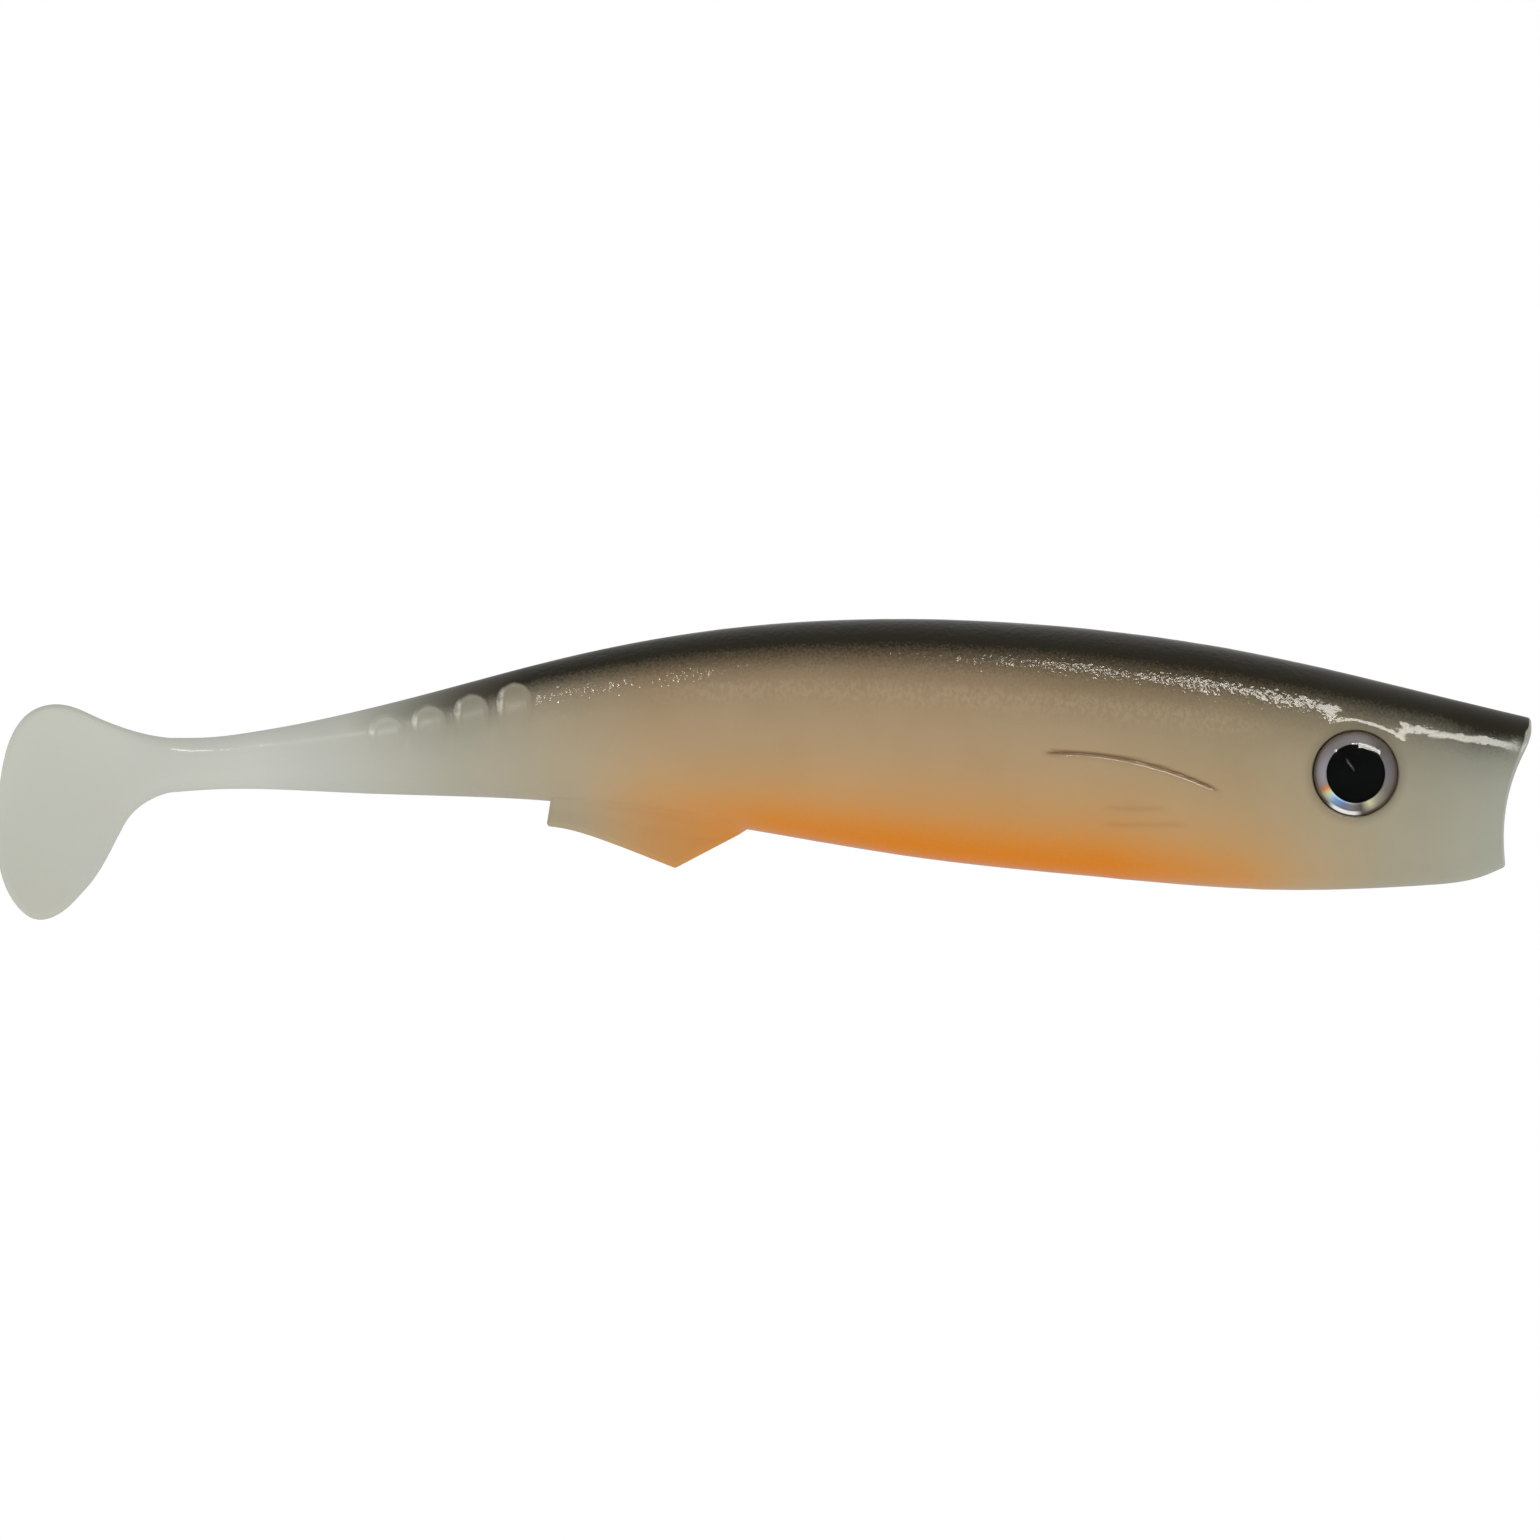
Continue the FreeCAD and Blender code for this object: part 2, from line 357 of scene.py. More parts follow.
def patch_radii():
    """The radii of the rings round the eye: closest at the socket's edge, wider outside it."""
    radii = [*np.linspace(0, SOCKET_RADIUS - 0.07, SOCKET_RINGS + 1), SOCKET_RADIUS]
    while len(radii) <= PATCH_RINGS + PATCH_FADE:
        gap = 0.05 + 0.05 * (len(radii) - SOCKET_RINGS - 1)
        radii.append(radii[-1] + min(HEAD_SPACING, gap))
    return radii


def eye_patch(x, z):
    """Draws the grid's squares round the eye into circles, for a clean round socket."""
    centre_x, centre_z = SOCKET_FLOOR.x, SOCKET_FLOOR.z
    row, line = np.unravel_index(np.argmin(from_eye(x, z)), x.shape)
    rows, lines = np.indices(x.shape)
    ring = np.maximum(np.abs(rows - row), np.abs(lines - line))
    radius = np.interp(ring, np.arange(PATCH_RINGS + PATCH_FADE + 1), patch_radii())
    away_x, away_z = x - x[row, line], z - z[row, line]
    length = np.maximum(np.hypot(away_x, away_z), 1e-9)
    pull = 1 - smooth_step(PATCH_RINGS, PATCH_RINGS + PATCH_FADE, ring)
    round_x, round_z = centre_x + away_x / length * radius, centre_z + away_z / length * radius
    return x + (round_x - x) * pull, z + (round_z - z) * pull


def crease_z(x):
    """The pectoral crease's height, which falls both ways from its top."""
    return CREASE_TOP[1] - CREASE_CURVE * (x - CREASE_TOP[0]) ** 2


def crease_fade(x):
    """1 along the pectoral crease, falling to 0 at its ends."""
    rear, front = CREASE_ENDS
    return smooth_step(rear, rear + 1.6, x) * smooth_step(front, front - 2, x)


def crease_rows(x, z):
    """Gathers the grid's lines towards the pectoral crease, which is finer than their spacing."""
    rear, front = CREASE_ENDS
    away = z - crease_z(x)
    share = np.minimum(np.abs(away) / CREASE_REACH, 1)
    gathered = np.sign(away) * CREASE_REACH * share ** (1 + 0.7 * crease_fade(x))
    near = (np.abs(away) < CREASE_REACH) & (x > rear) & (x < front)
    return np.where(near, crease_z(x) + gathered, z)


def flute_mask(x, z):
    """1 inside a flute, 0 on the ribs: each flute is a slot with a round top."""
    inside = np.zeros_like(x)
    for flute in FLUTE_X:
        top = back_z(flute) - FLUTE_BELOW_BACK
        over = np.maximum(z - (top - FLUTE_HALF_WIDTH), 0)
        edge = FLUTE_HALF_WIDTH - np.hypot(x - flute, over)
        inside = np.maximum(inside, smooth_step(*FLUTE_WALL, edge))
    return inside


def groove_mask(x, z):
    """1 along the bottom of the pectoral crease."""
    return np.exp(-(((crease_z(x) - z) / CREASE_WIDTH) ** 2)) * crease_fade(x)


def wrinkle_mask(x, z):
    """1 along the two faint wrinkles under the pectoral crease."""
    mask = np.zeros_like(x)
    for rear, front, height, slope in WRINKLES:
        middle = height + slope * (x - (rear + front) / 2)
        ends = smooth_step(rear, rear + 2.5, x) * smooth_step(front, front - 2.5, x)
        mask = np.maximum(mask, np.exp(-(((z - middle) / WRINKLE_WIDTH) ** 2)) * ends)
    return mask


def relief(x, z, share):
    """Everything that stands out of the plain flank or is sunk into it, in millimetres."""
    orbit = ORBIT_HEIGHT * smooth_step(*ORBIT_RADII, from_eye(x, z))
    flutes = -FLUTE_DEPTH * flute_mask(x, z) * smooth_step(*FLUTE_RUN_OUT, share)
    below = crease_z(x) - z
    swelling = SWELLING_HEIGHT * np.clip(below / SWELLING_LIP, 0, 1) * smooth_step(*SWELLING_FADE, below)
    pectoral = swelling * crease_fade(x) - CREASE_DEPTH * groove_mask(x, z)
    parting = PARTING_HEIGHT * smooth_step(0.985, 1.0, np.abs(share)) * smooth_step(-2, -6, x)
    lip = LIP_HEIGHT * smooth_step(0.95, 0.6, rim_x(share) - x)
    return orbit + flutes + pectoral + parting + lip - WRINKLE_DEPTH * wrinkle_mask(x, z)


def socket(x, y, z):
    """Sinks the skin to the socket's floor inside its edge, which is rounded over."""
    eye = from_eye(x, z)
    bottom = SOCKET_FLOOR.y - (x - SOCKET_FLOOR.x) * EYE_AXIS.x / EYE_AXIS.y
    turn = np.clip((SOCKET_RADIUS + SOCKET_ROUNDING - eye) / SOCKET_ROUNDING, 0, 1)
    lowered = y - SOCKET_ROUNDING * (1 - np.sqrt(1 - turn**2))
    return np.where(eye < SOCKET_RADIUS - 0.02, bottom, lowered)


def body_rows():
    """The left half of the skin from the rim to the wrist: points and the share of the chord at each.

    The relief dies out at the very back and belly, where the two halves meet.
    """
    x, z = eye_patch(*side_grid())
    z = crease_rows(x, z)
    share = np.clip((z - middle_z(x)) / half_height(x), -1, 1)
    share[:, 0], share[:, -1] = 1, -1
    y = section_width(x, share) + relief(x, z, share) * (1 - np.abs(share) ** 12)
    y = socket(x, y, z)
    y[:, 0] = y[:, -1] = 0
    return np.stack([x, y, z], axis=-1), share


def blade_rows():
    """The left half of the tail blade's skin, from the wrist to the rearmost point."""
    (top_x, top_z), (bottom_x, bottom_z) = blade_outlines()
    along = np.sin(np.linspace(0, np.pi / 2, BLADE_ROWS + 1))[1:-1, None]
    share = chord_share(ring_angle()[None, :])
    up = (1 + share) / 2
    x = bottom_x(along) + (top_x(along) - bottom_x(along)) * up
    z = bottom_z(along) + (top_z(along) - bottom_z(along)) * up
    fine = np.linspace(0, 1, 700)
    line_x = np.concatenate([top_x(fine), bottom_x(fine)])
    line_z = np.concatenate([top_z(fine), bottom_z(fine)])
    blade = rounded_edge(distance_to(line_x, line_z, x, z), BLADE_EDGE, BLADE_HALF_THICKNESS)
    stem = section_width(BLADE_FRONT, share)
    y = stem + (blade - stem) * smooth_step(0.0, BLADE_THINS_BY, along)
    y[:, 0] = y[:, -1] = 0
    return np.stack([x, y, z], axis=-1), np.broadcast_to(share, x.shape)


def dish_rows(rim):
    """From the hook channel's end over the dish to the rim's rounded edge: rows of the left half."""
    share = chord_share(ring_angle())
    corner_x = rim_x(share)
    corner = np.stack([corner_x, section_width(corner_x, share), section_z(corner_x, share)], -1)
    bore_y, bore_z = BORE_RADIUS * np.sin(ring_angle()), BORE_RADIUS * np.cos(ring_angle())
    depths = np.linspace(-BORE_DEPTH, 0, BORE_ROWS)
    rows = [np.stack([np.full_like(bore_y, depth), bore_y, bore_z], -1) for depth in depths]
    span = np.hypot(corner[:, 1] - bore_y, corner[:, 2] - bore_z)
    for i in range(DISH_ROWS + 1):
        out = (i / DISH_ROWS) * (1 - RIM_ROUNDING / span)
        y = bore_y + (corner[:, 1] - bore_y) * out
        z = bore_z + (corner[:, 2] - bore_z) * out
        rows.append(np.stack([dish_x(y, z), y, z], -1))
    inner = rows[-1]
    for t in (0.2, 0.4, 0.6, 0.8):
        rows.append(inner * (1 - t) ** 2 + corner * 2 * t * (1 - t) + rim * t**2)
    for row in rows:
        row[0, 1] = row[-1, 1] = 0
    return np.array(rows)


def whole_ring(left):
    """A closed ring of lines from the left half's, mirrored."""
    right = left[:, -2:0:-1] * [1, -1, 1]
    return np.concatenate([left, right], axis=1)


def both_sides(left):
    """A value at each of a closed ring's points, from the left half's values."""
    return np.concatenate([left, left[:, -2:0:-1]], axis=1).reshape(-1)


def grid_faces(rows, ring):
    """Quads between neighbouring rows of a closed ring, facing outwards."""
    a = np.arange(rows - 1)[:, None] * ring + np.arange(ring)[None, :]
    b = np.arange(rows - 1)[:, None] * ring + (np.arange(ring)[None, :] + 1) % ring
    return np.stack([a, b, b + ring, a + ring], axis=-1).reshape(-1, 4)


def point_normals(points, faces):
    """Each point's normal, averaged over the faces round it by their area."""
    a, b, c, d = (points[faces[:, i]] for i in range(4))
    normals = np.zeros_like(points)
    face_normal = np.cross(c - a, d - b)
    for i in range(4):
        np.add.at(normals, faces[:, i], face_normal)
    return normals / np.maximum(np.linalg.norm(normals, axis=1, keepdims=True), 1e-12)


def cap_faces(start, ring, outwards):
    """A ladder of quads that closes one end ring. outwards is 1 at the front end and -1 at the rear."""
    faces = [(start + 1, start, start + ring - 1)]
    for i in range(1, ring // 2):
        left, right = start + i, start + ring - i
        faces.append(tuple(dict.fromkeys((left + 1, left, right, right - 1))))
    return [face if outwards > 0 else face[::-1] for face in faces]


def mesh_object(name, points, faces, normals=None, smooth_faces=None, attributes=None):
    """A new object from points in millimetres. Its first smooth_faces faces take the normals given."""
    mesh = bpy.data.meshes.new(name)
    mesh.from_pydata(points * MM, [], [tuple(int(i) for i in face) for face in faces])
    for key, values in (attributes or {}).items():
        flat = values.ndim == 1
        layer = mesh.attributes.new(key, "FLOAT" if flat else "FLOAT_VECTOR", "POINT")
        layer.data.foreach_set("value" if flat else "vector", values.astype(np.float32).ravel())
    count = len(mesh.polygons) if smooth_faces is None else smooth_faces
    mesh.polygons.foreach_set("use_smooth", np.arange(len(mesh.polygons)) < count)
    if normals is not None:
        corners = np.zeros(len(mesh.loops), int)
        mesh.loops.foreach_get("vertex_index", corners)
        custom = normals[corners]
        for face in mesh.polygons[count:]:
            custom[face.loop_start : face.loop_start + face.loop_total] = face.normal
        mesh.normals_split_custom_set(custom)
    obj = bpy.data.objects.new(name, mesh)
    bpy.context.scene.collection.objects.link(obj)
    return obj


def uneven(points, normals, height):
    """The slight unevenness that a soft casting has, pushed along the normals."""
    push = []
    for point in points:
        coarse = noise.noise(Vector(point) * 0.14)
        push.append(coarse + 0.45 * noise.noise(Vector(point) * 0.45 + Vector((9.0, 3.0, 5.0))))
    return points + normals * (np.array(push) * height)[:, None]


def unevenness(rings, dish_count):
    """How far each point may be pushed: 0 in the dish, round the eyes and along the parting line."""
    rows, ring = rings.shape[:2]
    cast = (np.arange(rows) >= dish_count) * smooth_step(0.5, -3.0, rings[:, 0, 0])
    x, y, z = rings.reshape(-1, 3).T
    kept = (from_eye(x, z) < SOCKET_RADIUS + 1) | (np.abs(y) < 0.3)
    return np.where(kept, 0, UNEVENNESS * np.repeat(cast, ring))


def distance_behind_rim(dish, body, body_share, blade_share):
    """How far each point is behind the dish's rim. It is negative inside the dish."""
    inside = -np.hypot(dish[..., 1] - body[0, :, 1], dish[..., 2] - body[0, :, 2])
    behind = rim_x(body_share) - body[..., 0]
    return both_sides(np.concatenate([inside, behind, np.full(blade_share.shape, FAR)]))


def moulding():
    """The whole skin's points, normals and shader values, a ring's length and the dish's row count."""
    body, body_share = body_rows()
    blade, blade_share = blade_rows()
    dish = dish_rows(body[0])
    dish_share = np.broadcast_to(body_share[0], dish.shape[:2])
    share = both_sides(np.concatenate([dish_share, body_share, blade_share]))
    rings = whole_ring(np.concatenate([dish, body, blade]))
    rows, ring = rings.shape[:2]
    plain = rings.reshape(-1, 3)
    faces = grid_faces(rows, ring)
    points = uneven(plain, point_normals(plain, faces), unevenness(rings, len(dish)))
    x, z = plain[:, 0], plain[:, 2]
    values = {
        "rise": (1 + share) / 2,
        "flute": flute_mask(x, z) * smooth_step(-0.75, 0.3, share),
        "groove": groove_mask(x, z),
        "rim": distance_behind_rim(dish, body, body_share, blade_share),
        "wrinkle": wrinkle_mask(x, z),
        "socket": from_eye(x, z),
        "rest": points,
    }
    return points, point_normals(points, faces), values, ring, len(dish)


SKINS = ["trunk_skin", *[f"flute_skin_{i + 1}" for i in range(4)], "stem_skin", "paddle_skin"]


def skin_pieces():
    """The skin cut at its seams into closed pieces, front to rear."""
    points, normals, values, ring, dish_count = moulding()
    rows = len(points) // ring
    row_x = points.reshape(rows, ring, 3)[dish_count:, 0, 0]
    seams = [dish_count + int(np.argmin(np.abs(row_x - x))) for x in SEAM_X]
    cuts = [0, *seams, rows - 1]
    pieces = {}
    for name, first, last in zip(SKINS, cuts, cuts[1:]):
        part = slice(first * ring, (last + 1) * ring)
        count = last - first + 1
        side = grid_faces(count, ring)
        front, rear = cap_faces(0, ring, 1), cap_faces((count - 1) * ring, ring, -1)
        attributes = {key: value[part] for key, value in values.items()}
        faces = [*side.tolist(), *front, *rear]
        pieces[name] = mesh_object(name, points[part], faces, normals[part], len(side), attributes)
    return pieces


# ---- the anal fin


FIN_SPACING = 0.15
FIN_LINES = 44
FIN_HALF_THICKNESS = 0.7
FIN_EDGE = 0.75
FIN_BURIED = 1.4
FIN_MEETS = 0.93
FIN_FLARE = 2.0
FIN_RAKE = 0.155
FIN_CORNER = 0.4


def fin_outline():
    """The fin's lower edge as the CAD has it, from its front corner to its rear one: x and z."""
    tree = cad_surface("anal_fin", "anal_fin_web")
    low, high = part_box("anal_fin")
    x = np.linspace(high.x / MM - 0.05, low.x / MM + 0.05, 160)
    z = [probe(tree, (value, 0, -FAR), (0, 0, 1)).z for value in x]
    front = x[0] + 1.2
    return np.array([front, *x]), np.array([belly_z(front), *z])


def distance_to(line_x, line_z, x, z):
    """Each point's distance to the nearest of a line's points."""
    return np.hypot(x[..., None] - line_x, z[..., None] - line_z).min(axis=-1)


def rounded_edge(distance, edge, half_thickness):
    """Half a sheet's thickness at a distance in from its edge, which is rounded."""
    turn = 1 - np.clip(distance / edge, 0, 1)
    return half_thickness * np.sqrt(1 - turn**2)


def fin_fillet(x, z, bottom):
    """How much the fin widens towards the belly, to meet it at its own width and slope."""
    meets = middle_z(x) - half_height(x) * FIN_MEETS
    width = section_width(x, FIN_MEETS) - FIN_HALF_THICKNESS
    ahead = section_width(x, FIN_MEETS - 0.01) - section_width(x, FIN_MEETS)
    slope = ahead / (0.01 * half_height(x))
    reach = (meets - belly_z(x)) + np.minimum(FIN_FLARE, 0.75 * (belly_z(x) - bottom))
    rise = np.maximum(z - (meets - reach), 0) / reach
    steep = np.maximum(slope * reach / width, 1.2)
    fillet = width * rise**steep
    above = np.maximum(z - meets, 0)
    return np.where(above > 0, width - above * 0.4, fillet)


def fin_rows():
    """The fin's left half: rows from front to rear, each from inside the belly to the lower edge."""
    edge_x, edge_z = fin_outline()
    rear = edge_x[-1] + 0.02
    before_corner = rear + FIN_CORNER
    count = round((edge_x[0] - before_corner) / FIN_SPACING)
    plain = np.linspace(edge_x[0] - 0.02, before_corner, count)[:-1]
    turn = np.linspace(0, np.pi / 2, 9)
    x = np.concatenate([plain, before_corner - FIN_CORNER * np.sin(turn)])[:, None]
    raised = np.concatenate([np.zeros_like(plain), FIN_CORNER * (1 - np.cos(turn))])[:, None]
    top = belly_z(x) + FIN_BURIED
    bottom = np.interp(x, edge_x[::-1], edge_z[::-1]) + raised
    down = np.sin(np.linspace(0, np.pi / 2, FIN_LINES))[None, :] ** 0.8
    z = top + (bottom - top) * down
    fine_x = np.linspace(edge_x[0], edge_x[-1], 900)
    fine_z = np.interp(fine_x, edge_x[::-1], edge_z[::-1])
    rear_z = np.linspace(edge_z[-1], belly_z(edge_x[-1]) + 2, 60)
    line_x = np.concatenate([fine_x, np.full_like(rear_z, edge_x[-1])])
    line_z = np.concatenate([fine_z, rear_z])
    x = np.broadcast_to(x, z.shape)
    y = rounded_edge(distance_to(line_x, line_z, x, z), FIN_EDGE, FIN_HALF_THICKNESS)
    y = np.maximum(y, 0.015) + fin_fillet(x, z, bottom)
    x = x + FIN_RAKE * (z - bottom) * smooth_step(edge_x[-1] + 5, edge_x[-1], x)
    points = np.stack([x, y, z], axis=-1)
    lid = points[:, :1] * [1, 0, 1]
    points[:, -1, 1] = 0
    return np.concatenate([lid, points], axis=1)


def fin_piece():
    left = fin_rows()
    rings = whole_ring(left)
    rows, ring = rings.shape[:2]
    points = rings.reshape(-1, 3)
    sides = grid_faces(rows, ring)
    faces = [*sides.tolist(), *cap_faces(0, ring, 1), *cap_faces((rows - 1) * ring, ring, -1)]
    depth = belly_z(points[:, 0]) - points[:, 2]
    values = {"rest": points, "rise": -0.02 * np.maximum(depth, 0)}
    values |= {name: np.zeros(len(points)) for name in ("flute", "groove", "wrinkle")}
    values |= {name: np.full(len(points), FAR) for name in ("rim", "socket")}
    return mesh_object("fin_skin", points, faces, point_normals(points, sides), len(sides), values)


# ---- the eyes


LENS_TURNS = 96


def lathe(name, profile, side):
    """Turns a closed profile of radius and height about one eye's axis."""
    across, up = Vector((EYE_AXIS.y, -EYE_AXIS.x, 0)), Vector((0, 0, 1))
    angles = np.linspace(0, 2 * np.pi, LENS_TURNS, endpoint=False)
    points, local = [], []
    for radius, height in profile:
        for angle in angles:
            right, above = radius * math.cos(angle), radius * math.sin(angle)
            points.append(SOCKET_FLOOR + EYE_AXIS * height + (across * right + up * above))
            local.append((right, above, height))
    faces = []
    for row in range(len(profile)):
        nearer, further = row * LENS_TURNS, (row + 1) % len(profile) * LENS_TURNS
        for i in range(LENS_TURNS):
            after = (i + 1) % LENS_TURNS
            faces.append((nearer + i, further + i, further + after, nearer + after))
    points = np.array(points)
    if side == "right":
        points = points * [1, -1, 1]
        faces = [face[::-1] for face in faces]
    obj = mesh_object(name, points, faces, attributes={"eye": np.array(local)})
    clean = bmesh.new()
    clean.from_mesh(obj.data)
    bmesh.ops.remove_doubles(clean, verts=clean.verts, dist=1e-8)
    bmesh.ops.recalc_face_normals(clean, faces=clean.faces)
    clean.to_mesh(obj.data)
    clean.free()
    return obj


def arc(centre, radius, start, end, count):
    """Points on an arc. Its angles are in degrees, from outwards towards the eye's axis."""
    angles = np.radians(np.linspace(start, end, count))
    return [(centre[0] + radius * math.cos(a), centre[1] + radius * math.sin(a)) for a in angles]


def eye_heights():
    """The heights of the lens's base and crown over the socket's floor, from the CAD."""
    foil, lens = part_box("left_iris_foil"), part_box("left_eye_lens")
    lean = abs(EYE_AXIS.x)
    base = (foil[1].y / MM - SOCKET_FLOOR.y - FOIL_RADIUS * lean) / EYE_AXIS.y
    crown = (lens[1].y / MM - SOCKET_FLOOR.y) / EYE_AXIS.y
    return base, crown


def lens_profile(base, crown):
    """A dome with a rounded shoulder over a short upright edge, hollowed a little under its middle."""
    ball = (LENS_RADIUS**2 + LENS_DOME**2) / (2 * LENS_DOME)
    half_arc = math.degrees(math.asin(LENS_RADIUS / ball))
    foot = crown - LENS_DOME
    under = [(0, base + 0.12), (1.8, base + 0.1), (3.4, base + 0.03), (LENS_RADIUS - 0.12, base)]
    edge = [(LENS_RADIUS, base + 0.12), (LENS_RADIUS, foot - 0.5), (LENS_RADIUS, foot - LENS_SHOULDER)]
    dome = arc((0, crown - ball), ball, 90 - half_arc, 90, 26)
    dome = [point for point in dome if point[0] < LENS_RADIUS - LENS_SHOULDER]
    start, corner, end = np.array([edge[-1], (LENS_RADIUS, foot + 0.06), dome[0]])
    shoulder = []
    for t in np.linspace(0.15, 0.85, 6):
        shoulder.append(tuple(start * (1 - t) ** 2 + corner * 2 * t * (1 - t) + end * t**2))
    return [*under, *edge, *shoulder, *dome]


def foil_profile(base):
    """A flat ring, sunk a little between its two edges, with its outer edge rounded."""
    edge, bottom = 0.04, base - PRINT_THICKNESS
    rim = [(FOIL_RADIUS - edge, bottom), (FOIL_RADIUS, bottom + edge), (FOIL_RADIUS, base - edge)]
    top = [(FOIL_RADIUS - edge, base - 0.005), (4.3, base - 0.03), (3.8, base - 0.04)]
    return [(PUPIL_RADIUS, bottom), *rim, *top, (PUPIL_RADIUS + 0.02, base - 0.02)]


def pupil_profile(base):
    """A disc with a slightly raised middle."""
    bottom = base - PRINT_THICKNESS
    rim = [(PUPIL_RADIUS - 0.03, bottom), (PUPIL_RADIUS, bottom + 0.03), (PUPIL_RADIUS, base - 0.02)]
    top = [(PUPIL_RADIUS - 0.04, base + 0.01), (2.6, base + 0.05), (1.3, base + 0.075)]
    return [(0, bottom), *rim, *top, (0, base + 0.08)]


def eye_pieces(side):
    base, crown = eye_heights()
    lens = lathe(f"{side}_lens_dome", lens_profile(base, crown), side)
    foil = lathe(f"{side}_foil_ring", foil_profile(base), side)
    pupil = lathe(f"{side}_pupil_disc", pupil_profile(base), side)
    return lens, foil, pupil


# ---- materials


def srgb(red, green, blue):
    """A colour as a shader takes it, from the 0 to 255 that a colour picker shows."""
    values = [value / 255 for value in (red, green, blue)]
    return tuple(v / 12.92 if v <= 0.04045 else ((v + 0.055) / 1.055) ** 2.4 for v in values) + (1.0,)


class Nodes:
    """A material's or a world's node tree, with short ways to add to it."""

    def __init__(self, owner, output="ShaderNodeOutputMaterial"):
        self.owner = owner
        owner.use_nodes = True
        self.tree = owner.node_tree
        self.tree.nodes.clear()
        self.output = self.tree.nodes.new(output)

    def add(self, kind, inputs=None, output=0, **settings):
        """Adds a node, sets or links its inputs, and returns one of its outputs."""
        node = self.tree.nodes.new("ShaderNode" + kind)
        for key, value in settings.items():
            setattr(node, key, value)
        for key, value in (inputs or {}).items():
            if isinstance(value, bpy.types.NodeSocket):
                self.tree.links.new(value, node.inputs[key])
            else:
                node.inputs[key].default_value = value
        return node.outputs[output]

    def attribute(self, name, output="Fac"):
        return self.add("Attribute", output=output, attribute_name=name)

    def math(self, operation, a, b=0.0):
        return self.add("Math", {0: a, 1: b}, operation=operation)

    def times(self, first, *others):
        for other in others:
            first = self.math("MULTIPLY", first, other)
        return first

    def remap(self, value, low, high, to_low=0.0, to_high=1.0):
        limits = {"Value": value, "From Min": low, "From Max": high, "To Min": to_low, "To Max": to_high}
        return self.add("MapRange", limits, interpolation_type="SMOOTHSTEP")

    def noise(self, vector, scale, detail=2.0, roughness=0.5):
        inputs = {"Vector": vector, "Scale": scale, "Detail": detail, "Roughness": roughness}
        return self.add("TexNoise", inputs)

    def ramp(self, value, stops):
        """A colour ramp through (place, colour) stops. A single number as a colour is a grey."""
        result = self.add("ValToRGB", {"Fac": value})
        line = result.node.color_ramp
        for i, (place, colour) in enumerate(stops):
            stop = line.elements[i] if i < 2 else line.elements.new(place)
            stop.position = place
            stop.color = colour if isinstance(colour, tuple) else (colour, colour, colour, 1.0)
        return result

    def mix(self, share, a, b, blend_type="MIX"):
        inputs = {0: share, 6: a, 7: b}
        return self.add("Mix", inputs, output=2, data_type="RGBA", blend_type=blend_type)

    def bump(self, height, distance, normal=None):
        inputs = {"Height": height, "Strength": 1.0, "Distance": distance * MM}
        if normal is not None:
            inputs["Normal"] = normal
        return self.add("Bump", inputs)

    def surface(self, shader):
        """Puts a shader on the tree's output, and returns the material or the world."""
        self.tree.links.new(shader, self.output.inputs["Surface"])
        return self.owner


def new_material(name):
    return Nodes(bpy.data.materials.new(name))


REAR_END, FRONT_END = -176.0, 6.0

# Colours and shares against the station along the lure, or the rise from 0 at the belly to 1 at the back
FLANK_COLOURS = [
    (-172, 197, 199, 188),
    (-146, 204, 206, 198),
    (-134, 189, 191, 181),
    (-123, 169, 167, 151),
    (-110, 168, 155, 130),
    (-99, 172, 149, 117),
    (-64, 174, 148, 115),
    (-29, 167, 149, 118),
    (-17, 164, 153, 128),
    (-7, 159, 156, 138),
    (0, 160, 162, 149),
]
VEIL_RISE = [(0.1, 1.0), (0.3, 0.98), (0.5, 0.92), (0.7, 0.83), (0.85, 0.77)]
TAIL_RISE = [(0.0, 0.91), (0.5, 0.935), (0.85, 0.98), (1.0, 1.0)]
ORANGE_STRENGTH = [
    *[(-108, 0.0), (-99, 0.45), (-85, 0.9), (-70, 1.0)],
    *[(-45, 1.0), (-30, 0.65), (-22, 0.22), (-14, 0.0)],
]
ORANGE_RISE = [(0.0, 1.0), (0.05, 0.95), (0.12, 0.76), (0.2, 0.5), (0.3, 0.28), (0.4, 0.13), (0.56, 0.0)]
BACK_STRENGTH = [(-135, 0.0), (-128, 0.35), (-121, 0.8), (-114, 1.0)]
BACK_RISE = [(0.58, 0.0), (0.7, 0.1), (0.78, 0.32), (0.84, 0.68), (0.9, 1.0)]
ROUGHNESS = [
    *[(-161, 0.24), (-154, 0.13), (-146, 0.11), (-142, 0.24), (-114, 0.24)],
    *[(-111.5, 0.065), (-100, 0.065), (-92, 0.12), (-70, 0.11), (-50, 0.08)],
    *[(-35, 0.06), (0, 0.06), (2.5, 0.24)],
]
AMBER, ORANGE = srgb(214, 150, 40), srgb(214, 122, 0)
BACK = srgb(46, 43, 34)
# The second colour is a painted sheen, for light strokes along the flank
CLOUD, SHEEN_STREAK = srgb(206, 190, 160), srgb(206, 192, 160)
BARE = srgb(182, 182, 172)
# Painted shade: in the pectoral crease, along its wrinkles and round the eye sockets
CREASE_SHADE, WRINKLE_SHADE, SOCKET_SHADE = srgb(92, 62, 36), srgb(150, 104, 80), srgb(92, 84, 66)


